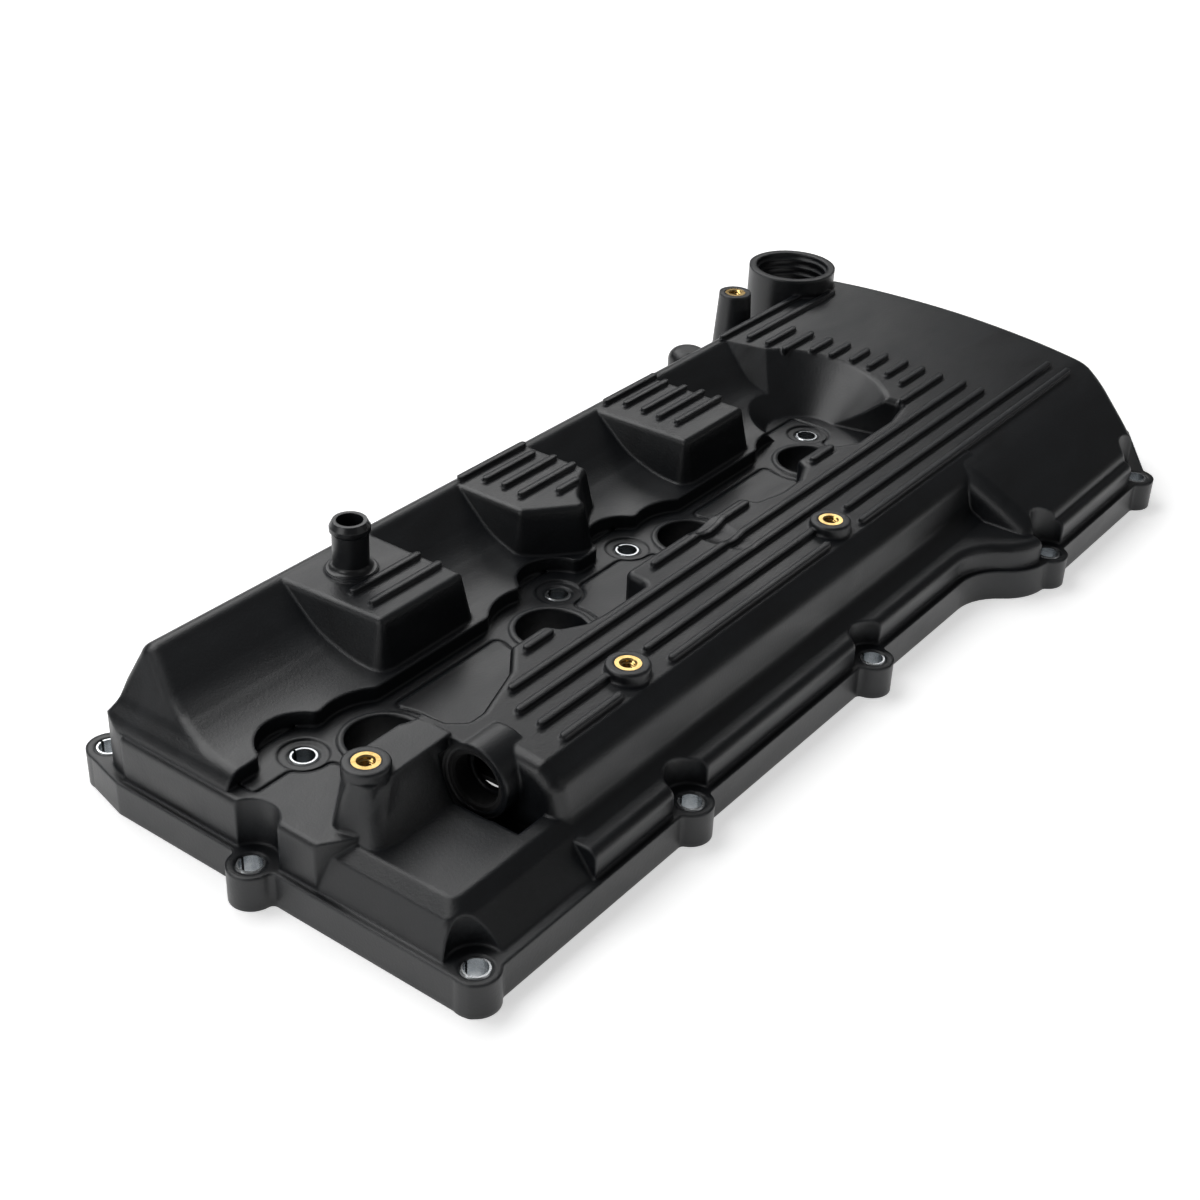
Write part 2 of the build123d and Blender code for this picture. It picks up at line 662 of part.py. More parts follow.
# ---------------------------------------------------------------- deck seam
SEAM_W = 1.2
SEAM_D = 1.0
SEAM_PLUG_R = 22.5
SEAM_BOLT_R = 11.5
SEAM_Y = -4.0
SEAM_END_Y = -30.0
SEAM_MID_X = 145.0
SEAM_BAND_L = 400.0
SEAM_BAND_W = 20.0
SEAM_ROUND = 3.0
with BuildPart() as seam:
    with BuildSketch(Plane.XY.offset(DECK_Z - SEAM_D)):
        with Locations(at(SEAM_MID_X, SEAM_Y + SEAM_BAND_W / 2)):
            Rectangle(SEAM_BAND_L, SEAM_BAND_W)
        with Locations(*ats(centre_bolts)):
            Circle(SEAM_BOLT_R)
        with Locations(*ats(plugs)):
            Circle(SEAM_PLUG_R)
        offset(amount=SEAM_ROUND, kind=Kind.ARC, mode=Mode.REPLACE)
        offset(amount=-2 * SEAM_ROUND, kind=Kind.ARC, mode=Mode.REPLACE)
        offset(amount=SEAM_ROUND, kind=Kind.ARC, mode=Mode.REPLACE)
        offset(amount=-SEAM_W, kind=Kind.ARC, mode=Mode.SUBTRACT)
        with Locations(at(SEAM_MID_X, SEAM_END_Y)):
            Rectangle(CUT_L, CUT_W, align=(Align.CENTER, Align.MAX), mode=Mode.SUBTRACT)
    extrude(amount=2 * SEAM_D)

flange_outline = outline(0, 4)
with BuildPart() as outer:
    add(slab.part)
    add(left_bank.part)
    for solid in block_solids:
        add(solid)
    add(valley_cut, mode=Mode.SUBTRACT)
    with BuildSketch(Plane.XY.offset(FOOT_Z)):
        with BuildLine():
            Polyline(*ats(corner_break), close=True)
        make_face()
    extrude(amount=CUT_H, mode=Mode.SUBTRACT)
    add(corner.part)
    with Locations(at(CORNER_FAR_X, PLATFORM_Y, SLOT_FLOOR_Z)):
        Box(
            CORNER_FAR_X - SLOT_X, PLATFORM_Y - SLOT_END_Y, CUT_H,
            align=(Align.MAX, Align.MAX, Align.MIN), mode=Mode.SUBTRACT,
        )
    add(near_left_cutter(0), mode=Mode.SUBTRACT)
    add(right_mass.part)
    add(tower_solid)
    with Locations(at(*plugs[0], DECK_Z)):
        Cylinder(PLUG_LIP_R + 1, CUT_W, align=UPWARD, mode=Mode.SUBTRACT)
    with Locations(*[at(x, y, FLANGE_H) for x, y in near_bolts + right_bolts + left_bolts]):
        Cylinder(BOLT_POCKET_R, CUT_W, align=UPWARD, mode=Mode.SUBTRACT)
    with Locations(*[at(x, y, FLANGE_H) for x, y in far_bolts]):
        Cylinder(BOLT_POCKET_R, FAR_POCKET_Z - FLANGE_H, align=UPWARD, mode=Mode.SUBTRACT)
    with BuildSketch() as flange_plan:
        add(flange_outline)
        with Locations(*ats(flange_bolts)):
            Circle(FLANGE_BOSS_R)
        offset(amount=FLANGE_BLEND, kind=Kind.ARC, mode=Mode.REPLACE)
        offset(amount=-FLANGE_BLEND, kind=Kind.ARC, mode=Mode.REPLACE)
    extrude(amount=FLANGE_H)
    add(trough(0, 0), mode=Mode.SUBTRACT)
    add(ribs.part)
    add(stands.part)
    with Locations(*[at(x, y, DECK_Z) for x, y in plugs]):
        Cylinder(PLUG_LIP_R, PLUG_LIP_H, align=UPWARD)
    add(seam.part, mode=Mode.SUBTRACT)
    with Locations(*[at(x, y, DECK_Z - CENTRE_DISH) for x, y in centre_bolts]):
        Cylinder(CENTRE_BOSS_R, 5, align=UPWARD, mode=Mode.SUBTRACT)
# ---------------------------------------------------------------- hollow
INNER_CORNER = 6.0
INNER_FOOT_Z = FLANGE_H - WALL
COLUMN_R = BOLT_POCKET_R + WALL
BLOCK_INNER_CORNERS = [8.0, 0.0, 8.0]
BAFFLE_T = 2.0
BAFFLE_TOP_Z = DECK_Z - WALL
HOLLOW_TOP_Z = 80.0
BAFFLE_POST_R = 4.0
INSERT_CORE_R = INSERT_BOSS_R
tower_insert = insert_bosses[0]
bank_inserts = insert_bosses[1:]
right_posts = [(152.0, -80.0), (303.0, -80.0)]
left_posts = [(0.0, 58.0), (106.5, 58.0), (212.0, 58.0), (312.0, 58.0)]
land_opening = outline(LAND_W, INNER_CORNER)

with BuildPart() as broad_hollow:
    add(prism(broad_points, broad_radii, BROAD_LEFT_X, FAR_X + OVERRUN, WALL))
    add(prism(brow_points, brow_radii, BROAD_X, BROAD_LEFT_X + OVERRUN, WALL))
    add(flank_cutter(WALL), mode=Mode.SUBTRACT)

with BuildPart() as hollow:
    with BuildSketch(Plane.XY.offset(INNER_FOOT_Z)):
        add(land_opening)
    extrude(amount=SHOULDER_Z - WALL - INNER_FOOT_Z)
    with BuildSketch(Plane.XY.offset(INNER_FOOT_Z)):
        add(land_opening)
        with Locations(at(MID_X, SHOULDER_Y + WALL)):
            Rectangle(CUT_L, CUT_W, align=(Align.CENTER, Align.MAX), mode=Mode.SUBTRACT)
    extrude(amount=DECK_Z - WALL - INNER_FOOT_Z)
    add(prism(left_points, left_radii, LEFT_NEAR_X, BROAD_LEFT_X + OVERRUN, WALL))
    for plan, corner_radius in zip(block_plans, BLOCK_INNER_CORNERS):
        add(block(plan, corner_radius, WALL))
    add(lean_cutter(WALL), mode=Mode.SUBTRACT)
    with BuildSketch(Plane.XY.offset(INNER_FOOT_Z)):
        with BuildLine():
            Polyline(*ats(corner_break), close=True)
        make_face()
        offset(amount=WALL, kind=Kind.INTERSECTION, mode=Mode.REPLACE)
    extrude(amount=CUT_H, mode=Mode.SUBTRACT)
    add(frustum(corner_foot, INNER_FOOT_Z, corner_knee, CORNER_KNEE_Z, WALL))
    with Locations(at(BANK_NEAR_X + WALL, PLATFORM_Y + WALL, SLOT_FLOOR_Z - WALL)):
        Box(
            BANK_NEAR_X - SLOT_X + 2 * WALL, PLATFORM_Y - SLOT_END_Y + 2 * WALL, CUT_H,
            align=(Align.MAX, Align.MAX, Align.MIN), mode=Mode.SUBTRACT,
        )
    add(near_left_cutter(WALL), mode=Mode.SUBTRACT)
    add(prism(bank_points, bank_radii, BANK_NEAR_X, BROAD_LEFT_X, WALL))
    add(prism(slope_points, slope_radii, BROAD_X, BROAD_LEFT_X + OVERRUN, WALL))
    add(broad_hollow.part)
    add(valley(WALL), mode=Mode.SUBTRACT)
    add(end_cutter(WALL), mode=Mode.SUBTRACT)
    add(trough(WALL, 0), mode=Mode.SUBTRACT)
    add(tower(WALL))
    with BuildSketch(Plane.XY.offset(-1)):
        add(land_opening)
    extrude(amount=INNER_FOOT_Z + 1)
    with BuildSketch(Plane.XY.offset(-1)):
        add(land_opening)
    extrude(amount=HOLLOW_TOP_Z, mode=Mode.INTERSECT)
    with Locations(*[at(x, y, -1) for x, y in near_bolts + right_bolts + left_bolts]):
        Cylinder(COLUMN_R, HOLLOW_TOP_Z, align=UPWARD, mode=Mode.SUBTRACT)
    with Locations(*[at(x, y, -1) for x, y in far_bolts]):
        Cylinder(COLUMN_R, FAR_POCKET_Z + WALL + 1, align=UPWARD, mode=Mode.SUBTRACT)
    with Locations(*[at(x, y, PLUG_TUBE_END_Z) for x, y in plugs]):
        Cylinder(PLUG_TUBE_R, HOLLOW_TOP_Z, align=UPWARD, mode=Mode.SUBTRACT)
    with Locations(*ats(centre_bolts)):
        Cylinder(CENTRE_BOSS_R, HOLLOW_TOP_Z, align=UPWARD, mode=Mode.SUBTRACT)
    with Locations(at(tower_insert[0], tower_insert[1], tower_insert[2] - INSERT_HOLE_D - WALL)):
        Cylinder(INSERT_CORE_R, HOLLOW_TOP_Z, align=UPWARD, mode=Mode.SUBTRACT)
    with Locations(*[at(x, y, BAFFLE_TOP_Z) for x, y, z in bank_inserts]):
        Cylinder(INSERT_CORE_R, HOLLOW_TOP_Z, align=UPWARD, mode=Mode.SUBTRACT)
    with Locations(*[at(x, y, BAFFLE_TOP_Z) for x, y in right_posts + left_posts]):
        Cylinder(BAFFLE_POST_R, HOLLOW_TOP_Z, align=UPWARD, mode=Mode.SUBTRACT)

# ---------------------------------------------------------------- bores and seats
SEAL_SEAT_R = 17.5
SEAL_SEAT_TOP_Z = 10.0
SLEEVE_SEAT_CHAMFER = 0.6
INSERT_SEAT_CHAMFER = 0.5
NIPPLE_PASSAGE_R = 5.5
NIPPLE_PASSAGE_L = 10.0
PORT_PASSAGE_L = 14.0
GROOVE_D = 3.0
GROOVE_W = 4.0
GROOVE_LAND = 2.2
GROOVE_BOLT_R = 8.6
GROOVE_ROUND = 1.5
STAKE_R = 2.0
STAKE_HEAD_R = 3.5
STAKE_HEAD_H = 1.2
deck_stakes = [(51.0, -29.8), (154.0, -29.8), (256.0, -29.8)]
right_stakes = right_posts + [(x, y) for x, y, z in bank_inserts] + deck_stakes
left_stakes = left_posts + [(51.0, 2.5), (154.0, 2.5), (256.0, 2.5)]


def seal_ring(side_gap):
    """Plan of the seal running round inside every flange bolt, each side moved in by side_gap."""
    with BuildSketch() as line:
        add(outline(GROOVE_LAND, INNER_CORNER))
        with Locations(*ats(flange_bolts)):
            Circle(GROOVE_BOLT_R, mode=Mode.SUBTRACT)
        offset(amount=-GROOVE_ROUND, kind=Kind.ARC, mode=Mode.REPLACE)
        offset(amount=2 * GROOVE_ROUND, kind=Kind.ARC, mode=Mode.REPLACE)
        offset(amount=-GROOVE_ROUND - side_gap, kind=Kind.ARC, mode=Mode.REPLACE)
    with BuildSketch() as ring:
        add(line.sketch)
        offset(amount=2 * side_gap - GROOVE_W, kind=Kind.ARC, mode=Mode.SUBTRACT)
    return ring.sketch


groove_plan = seal_ring(0)
low_sleeves = [at(x, y, FLANGE_H) for x, y in flange_bolts]
high_sleeves = [at(x, y, DECK_Z - CENTRE_DISH) for x, y in centre_bolts]

with BuildPart() as cover_shell:
    add(outer.part)
    add(hollow.part, mode=Mode.SUBTRACT)
    add(neck_bore.part, mode=Mode.SUBTRACT)
    with Locations(*ats(plugs)):
        Cylinder(PLUG_BORE_R, HOLLOW_TOP_Z, align=UPWARD, mode=Mode.SUBTRACT)
        Cylinder(SEAL_SEAT_R, SEAL_SEAT_TOP_Z, align=UPWARD, mode=Mode.SUBTRACT)
    with Locations(*low_sleeves):
        Cylinder(SLEEVE_R, FLANGE_H, align=DOWNWARD, mode=Mode.SUBTRACT)
    with Locations(*high_sleeves):
        Cylinder(SLEEVE_R, DECK_Z, align=DOWNWARD, mode=Mode.SUBTRACT)
    with Locations(*low_sleeves, *high_sleeves):
        Cone(
            SLEEVE_R, SLEEVE_R + SLEEVE_SEAT_CHAMFER, SLEEVE_SEAT_CHAMFER,
            align=DOWNWARD, mode=Mode.SUBTRACT,
        )
    with Locations(*[at(*top) for top in insert_tops]):
        Cylinder(INSERT_R, INSERT_HOLE_D, align=DOWNWARD, mode=Mode.SUBTRACT)
    with Locations(at(NIPPLE_X, NIPPLE_Y, LEFT_TOP_Z + NIPPLE_PAD_H)):
        Cylinder(NIPPLE_SOCKET_R, NIPPLE_SOCKET_D, align=DOWNWARD, mode=Mode.SUBTRACT)
        Cylinder(NIPPLE_PASSAGE_R, NIPPLE_PASSAGE_L, align=DOWNWARD, mode=Mode.SUBTRACT)
    with BuildSketch(Plane.YZ.offset(PORT_FACE_X - MID_X)):
        with Locations(*across([(PORT_Y, PORT_Z)])):
            Circle(PORT_SEAT_R)
    extrude(amount=PORT_SEAT_D, mode=Mode.SUBTRACT)
    with BuildSketch(Plane.YZ.offset(PORT_FACE_X - MID_X)):
        with Locations(*across([(PORT_Y, PORT_Z)])):
            Circle(PORT_HOOD_R)
    extrude(amount=-PORT_MOUTH_L, mode=Mode.SUBTRACT)
    with BuildSketch(Plane.YZ.offset(PORT_FACE_X - MID_X)):
        with Locations(*across([(PORT_Y, PORT_Z)])):
            Circle(PORT_PASSAGE_R)
    extrude(amount=PORT_PASSAGE_L, mode=Mode.SUBTRACT)
    with BuildSketch():
        add(groove_plan)
    extrude(amount=GROOVE_D, mode=Mode.SUBTRACT)
    with Locations(*[at(x, y, BAFFLE_TOP_Z) for x, y in right_stakes + left_stakes]):
        Cylinder(STAKE_R, BAFFLE_T + 1, align=(Align.CENTER, Align.CENTER, Align.CENTER))
    with Locations(*[at(x, y, BAFFLE_TOP_Z - BAFFLE_T) for x, y in right_stakes + left_stakes]):
        Cylinder(STAKE_R, BAFFLE_T, align=UPWARD)
        Cylinder(STAKE_HEAD_R, STAKE_HEAD_H, align=DOWNWARD)
cover_shell.part.label = "cover_shell"
export_step(cover_shell.part, "parts/cover_shell.step")

# ---------------------------------------------------------------- gasket
GASKET_SIDE_GAP = 0.1
GASKET_TOP_GAP = 0.1
gasket_plan = seal_ring(GASKET_SIDE_GAP)
with BuildPart() as cover_gasket:
    with BuildSketch():
        add(gasket_plan)
    extrude(amount=GROOVE_D - GASKET_TOP_GAP)
cover_gasket.part.label = "cover_gasket"
export_step(cover_gasket.part, "parts/cover_gasket.step")

# ---------------------------------------------------------------- plug tube seals
SEAL_FIT = 0.05
SEAL_LIP_R = 13.2
SEAL_LIP_Z = 5.0
SEAL_LIP_T = 1.2
for number, (x, y) in enumerate(plugs, start=1):
    with BuildPart() as plug_seal:
        with BuildSketch(Plane.XZ):
            with BuildLine():
                Polyline(
                    (PLUG_BORE_R, PLUG_TUBE_END_Z), (SEAL_SEAT_R - SEAL_FIT, PLUG_TUBE_END_Z),
                    (SEAL_SEAT_R - SEAL_FIT, SEAL_SEAT_TOP_Z), (PLUG_BORE_R, SEAL_SEAT_TOP_Z),
                    (PLUG_BORE_R, SEAL_LIP_Z + 2 * SEAL_LIP_T), (SEAL_LIP_R, SEAL_LIP_Z),
                    (SEAL_LIP_R, SEAL_LIP_Z - SEAL_LIP_T), (PLUG_BORE_R, SEAL_LIP_Z - SEAL_LIP_T / 2),
                    close=True,
                )
            make_face()
        revolve(axis=Axis.Z)
    plug_seal.part.position = at(x, y)
    plug_seal.part.label = f"plug_seal_{number}"
    export_step(plug_seal.part, f"parts/plug_seal_{number}.step")

# ---------------------------------------------------------------- port seal
PORT_SEAL_SET_BACK = 0.4
PORT_SEAL_LEAD = 0.8
with BuildPart() as port_seal:
    with BuildSketch(Plane.XY):
        with BuildLine():
            Polyline(
                (PORT_SEAL_SET_BACK, PORT_SEAT_R - SEAL_FIT),
                (PORT_SEAT_D - SEAL_FIT, PORT_SEAT_R - SEAL_FIT),
                (PORT_SEAT_D - SEAL_FIT, PORT_BORE_R),
                (PORT_SEAL_SET_BACK + PORT_SEAL_LEAD, PORT_BORE_R),
                (PORT_SEAL_SET_BACK, PORT_BORE_R + PORT_SEAL_LEAD), close=True,
            )
        make_face()
    revolve(axis=Axis.X)
port_seal.part.position = at(PORT_FACE_X, PORT_Y, PORT_Z)
port_seal.part.label = "port_seal"
export_step(port_seal.part, "parts/port_seal.step")

# ---------------------------------------------------------------- steel sleeves
SLEEVE_SPLIT = 1.2
SLEEVE_CHAMFER = 0.5


def sleeve(x, y, height):
    """A rolled steel sleeve with one split, standing on the sealing plane."""
    with BuildPart() as rolled:
        with Locations(at(x, y)):
            Cylinder(SLEEVE_R, height, align=UPWARD)
            Cylinder(SLEEVE_BORE_R, height, align=UPWARD, mode=Mode.SUBTRACT)
        chamfer(rolled.edges().filter_by(GeomType.CIRCLE).filter_by(on_sleeve_skin), SLEEVE_CHAMFER)
        with Locations(at(x, y)):
            Box(
                SLEEVE_SPLIT, 2 * SLEEVE_R, height,
                align=(Align.CENTER, Align.MIN, Align.MIN), mode=Mode.SUBTRACT,
            )
    return rolled.part


def on_sleeve_skin(edge):
    """True for the rims of a sleeve's outer skin."""
    return edge.radius > SLEEVE_R - 0.1


for number, (x, y) in enumerate(flange_bolts, start=1):
    with BuildPart() as flange_sleeve:
        add(sleeve(x, y, FLANGE_H))
    flange_sleeve.part.label = f"flange_sleeve_{number:02d}"
    export_step(flange_sleeve.part, f"parts/flange_sleeve_{number:02d}.step")
for number, (x, y) in enumerate(centre_bolts, start=1):
    with BuildPart() as centre_sleeve:
        add(sleeve(x, y, DECK_Z - CENTRE_DISH))
    centre_sleeve.part.label = f"centre_sleeve_{number}"
    export_step(centre_sleeve.part, f"parts/centre_sleeve_{number}.step")

# ---------------------------------------------------------------- brass inserts
INSERT_WAIST_R = 4.9
INSERT_WAIST_H = 2.0
INSERT_LEAD = 0.6
for number, (x, y, z) in enumerate(insert_tops, start=1):
    with BuildPart() as thread_insert:
        with Locations(at(x, y, z)):
            Cylinder(INSERT_R, INSERT_L, align=DOWNWARD)
            Cylinder(INSERT_BORE_R, INSERT_L, align=DOWNWARD, mode=Mode.SUBTRACT)
        chamfer(thread_insert.faces().sort_by(Axis.Z)[-1].inner_wires().edges(), INSERT_LEAD)
        with BuildSketch(Plane.XY.offset(z - (INSERT_L + INSERT_WAIST_H) / 2)):
            with Locations(at(x, y)):
                Circle(INSERT_R + 1)
                Circle(INSERT_WAIST_R, mode=Mode.SUBTRACT)
        extrude(amount=INSERT_WAIST_H, mode=Mode.SUBTRACT)
    thread_insert.part.label = f"thread_insert_{number}"
    export_step(thread_insert.part, f"parts/thread_insert_{number}.step")

# ---------------------------------------------------------------- hose nipple
NIPPLE_FIT = 0.05
NIPPLE_H = 22.0
NIPPLE_FLARE_R = 10.5
NIPPLE_FLARE_H = 3.0
NIPPLE_TUBE_R = 7.6
NIPPLE_BEAD_R = 8.5
NIPPLE_LEAD_H = 2.5
NIPPLE_BEAD_W = 2.0
NIPPLE_BEAD_BACK = 1.0
NIPPLE_END_R = 7.2
nipple_foot_z = LEFT_TOP_Z + NIPPLE_PAD_H
with BuildPart() as hose_nipple:
    with BuildSketch(Plane.XZ):
        with BuildLine():
            spigot = Polyline(
                (NIPPLE_FLARE_R, 0), (NIPPLE_SOCKET_R - NIPPLE_FIT, 0),
                (NIPPLE_SOCKET_R - NIPPLE_FIT, -NIPPLE_SOCKET_D), (NIPPLE_PASSAGE_R, -NIPPLE_SOCKET_D),
                (NIPPLE_PASSAGE_R, NIPPLE_H), (NIPPLE_END_R, NIPPLE_H),
                (NIPPLE_BEAD_R, NIPPLE_H - NIPPLE_LEAD_H),
                (NIPPLE_BEAD_R, NIPPLE_H - NIPPLE_LEAD_H - NIPPLE_BEAD_W),
                (NIPPLE_TUBE_R, NIPPLE_H - NIPPLE_LEAD_H - NIPPLE_BEAD_W - NIPPLE_BEAD_BACK),
                (NIPPLE_TUBE_R, NIPPLE_FLARE_H),
            )
            TangentArc(spigot @ 1, (NIPPLE_FLARE_R, 0.4), tangent=(0, -1))
            Line((NIPPLE_FLARE_R, 0.4), spigot @ 0)
        make_face()
    revolve(axis=Axis.Z)
hose_nipple.part.position = at(NIPPLE_X, NIPPLE_Y, nipple_foot_z)
hose_nipple.part.label = "hose_nipple"
export_step(hose_nipple.part, "parts/hose_nipple.step")

# ---------------------------------------------------------------- oil baffles
BAFFLE_ROUND = 6.0
BAFFLE_PLUG_R = 21.5
BAFFLE_BOLT_R = 11.0
BAFFLE_STAKE_R = 2.2
DRAIN_L = 20.0
DRAIN_W = 4.0
right_baffle_plan = [(10.5, -28.5), (10.5, -92), (318, -92), (318, -28.5)]
left_baffle_plan = [(-44, -3), (-44, 52), (-34, 66), (322, 66), (322, -3)]
right_drains = [(40, -84), (190, -84), (280, -84)]
left_drains = [(50, 62), (160, 62), (262, 62)]


def baffle(plan, stakes, drains):
    """A flat stamped plate under the deck with reliefs for the tubes, sleeves and stakes."""
    with BuildPart() as plate:
        with BuildSketch(Plane.XY.offset(BAFFLE_TOP_Z - BAFFLE_T)) as blank:
            with BuildLine():
                Polyline(*ats(plan), close=True)
            make_face()
            fillet(blank.vertices(), BAFFLE_ROUND)
            with Locations(*ats(plugs)):
                Circle(BAFFLE_PLUG_R, mode=Mode.SUBTRACT)
            with Locations(*ats(centre_bolts)):
                Circle(BAFFLE_BOLT_R, mode=Mode.SUBTRACT)
            with Locations(*ats(stakes)):
                Circle(BAFFLE_STAKE_R, mode=Mode.SUBTRACT)
            with Locations(*ats(drains)):
                SlotOverall(DRAIN_L, DRAIN_W, mode=Mode.SUBTRACT)
        extrude(amount=BAFFLE_T)
    return plate.part


with BuildPart() as baffle_right:
    add(baffle(right_baffle_plan, right_stakes, right_drains))
baffle_right.part.label = "baffle_right"
export_step(baffle_right.part, "parts/baffle_right.step")
with BuildPart() as baffle_left:
    add(baffle(left_baffle_plan, left_stakes, left_drains))
baffle_left.part.label = "baffle_left"
export_step(baffle_left.part, "parts/baffle_left.step")
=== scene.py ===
"""Engine valve cover: finishes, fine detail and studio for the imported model."""

import math

import bpy
from mathutils import Matrix, Vector


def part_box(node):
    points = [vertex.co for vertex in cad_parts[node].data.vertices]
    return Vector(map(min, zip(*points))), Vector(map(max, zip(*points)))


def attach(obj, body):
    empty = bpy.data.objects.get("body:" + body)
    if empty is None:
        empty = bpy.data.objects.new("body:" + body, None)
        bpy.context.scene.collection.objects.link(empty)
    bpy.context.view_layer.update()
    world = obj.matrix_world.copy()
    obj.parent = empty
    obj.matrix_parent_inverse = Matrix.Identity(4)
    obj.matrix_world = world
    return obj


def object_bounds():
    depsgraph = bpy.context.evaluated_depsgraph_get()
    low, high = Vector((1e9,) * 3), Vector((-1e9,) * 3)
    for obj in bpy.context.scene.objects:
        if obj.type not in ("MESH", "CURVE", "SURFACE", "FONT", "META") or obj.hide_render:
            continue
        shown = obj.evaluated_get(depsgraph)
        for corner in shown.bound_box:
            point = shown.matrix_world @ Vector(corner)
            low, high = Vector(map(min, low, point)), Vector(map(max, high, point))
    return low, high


bl_info = {
    "name": "Valve Cover Dressing",
    "version": (1, 0, 0),
    "blender": (4, 5, 0),
    "location": "3D View > Sidebar > Valve Cover",
    "description": "Finishes and fine detail for a moulded engine valve cover",
    "category": "Object",
}

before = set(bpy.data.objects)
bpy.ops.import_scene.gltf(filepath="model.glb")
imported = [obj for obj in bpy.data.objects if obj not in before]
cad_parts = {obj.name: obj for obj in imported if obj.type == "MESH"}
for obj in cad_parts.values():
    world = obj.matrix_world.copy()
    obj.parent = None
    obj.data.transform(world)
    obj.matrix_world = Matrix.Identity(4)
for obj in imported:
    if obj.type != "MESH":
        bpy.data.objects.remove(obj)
cad_low, cad_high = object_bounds()

MM = 0.001
SHELL = "cover_shell"
NIPPLE = "hose_nipple"
BAFFLES = ["baffle_left", "baffle_right"]
SEALS = ["cover_gasket", "port_seal"] + [f"plug_seal_{i}" for i in range(1, 5)]
FLANGE_SLEEVES = [f"flange_sleeve_{i:02d}" for i in range(1, 14)]
CENTRE_SLEEVES = [f"centre_sleeve_{i}" for i in range(1, 5)]
INSERTS = [f"thread_insert_{i}" for i in range(1, 5)]


# ---------------------------------------------------------------- settings
class ValveCoverFinish(bpy.types.PropertyGroup):
    """Colours and grain of the cover's own surfaces."""

    nylon_colour: bpy.props.StringProperty(
        name="Nylon colour", description="sRGB hex colour of the moulded cover", default="#0b0d10"
    )
    nylon_bloom: bpy.props.StringProperty(
        name="Nylon bloom", description="sRGB hex colour of its paler flow patches", default="#111418"
    )
    # Colour of the pale grain specks, and of the highlight painted into the colour along edges and
    # corners.
    speck_and_highlight_colour: bpy.props.StringProperty(
        name="Speck and painted highlight colour", description="sRGB hex colour of grain specks and painted edge highlights", default="#282c32"
    )
    grain: bpy.props.FloatProperty(
        name="Grain", description="Width of the mould's spark-eroded grain", default=1.1 * MM,
        min=0.2 * MM, max=5 * MM, subtype="DISTANCE", unit="LENGTH",
    )
    edge_radius: bpy.props.FloatProperty(
        name="Edge softness", description="Radius that moulded edges shade with", default=2.0 * MM,
        min=0.0, max=4 * MM, subtype="DISTANCE", unit="LENGTH",
    )


class ValveCoverMetal(bpy.types.PropertyGroup):
    """Colours of the sleeves and inserts, and the size of the screw thread."""

    zinc_colour: bpy.props.StringProperty(
        name="Zinc colour", description="sRGB hex colour of the plated sleeves", default="#d3d6d8"
    )
    brass_colour: bpy.props.StringProperty(
        name="Brass colour", description="sRGB hex colour of the thread inserts", default="#d9b877"
    )
    thread_pitch: bpy.props.FloatProperty(
        name="Thread pitch", description="Rise of one turn of the insert thread", default=1.0 * MM,
        min=0.4 * MM, max=2 * MM, subtype="DISTANCE", unit="LENGTH",
    )
    thread_depth: bpy.props.FloatProperty(
        name="Thread depth", description="Height of the insert thread's ridge", default=0.5 * MM,
        min=0.1 * MM, max=1 * MM, subtype="DISTANCE", unit="LENGTH",
    )


class ValveCoverStudio(bpy.types.PropertyGroup):
    """Lamps and floor of the studio."""

    key_power: bpy.props.FloatProperty(
        name="Key lamp", description="Power of the large lamp above", default=14.0, min=0.0, unit="POWER"
    )
    side_power: bpy.props.FloatProperty(
        name="Side lamp", description="Power of the lamp at the near left end", default=5.0, min=0.0,
        unit="POWER",
    )
    sky_level: bpy.props.FloatProperty(
        name="Room level", description="Strength of the even light of the room", default=0.1, min=0.0
    )
    floor_colour: bpy.props.StringProperty(
        name="Floor colour", description="sRGB hex colour of the studio floor", default="#f4f4f4"
    )


# ---------------------------------------------------------------- small tools
def linear(hex_colour):
    """Linear red, green, blue and alpha of an sRGB hex colour."""
    values = [int(hex_colour[i : i + 2], 16) / 255 for i in (1, 3, 5)]
    return [v / 12.92 if v <= 0.04045 else ((v + 0.055) / 1.055) ** 2.4 for v in values] + [1.0]


def add_node(material, kind, values=None, links=None, **settings):
    """Adds a node with its settings, its sockets' values and its links, and returns it."""
    made = material.node_tree.nodes.new(kind)
    for key, value in settings.items():
        setattr(made, key, value)
    for key, value in (values or {}).items():
        made.inputs[key].default_value = value
    for key, (source, socket) in (links or {}).items():
        material.node_tree.links.new(source.outputs[socket], made.inputs[key])
    return made


def new_material(name):
    """An empty node material and its output node."""
    made = bpy.data.materials.new(name)
    made.use_nodes = True
    made.node_tree.nodes.clear()
    return made, add_node(made, "ShaderNodeOutputMaterial")


def finish_node(name, material):
    """Gives every material slot of a CAD node one finish."""
    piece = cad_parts[name]
    if not piece.material_slots:
        piece.data.materials.append(material)
    for slot in piece.material_slots:
        slot.material = material


def deselect_all():
    """Clears the selection, so that an operator acts on one piece."""
    if bpy.context.object and bpy.context.object.mode != "OBJECT":
        bpy.ops.object.mode_set(mode="OBJECT")
    bpy.ops.object.select_all(action="DESELECT")


def settle(piece):
    """Moves a piece's place into its mesh, so that its object sits at the origin."""
    deselect_all()
    piece.select_set(True)
    bpy.context.view_layer.objects.active = piece
    bpy.ops.object.transform_apply(location=True, rotation=True, scale=True)


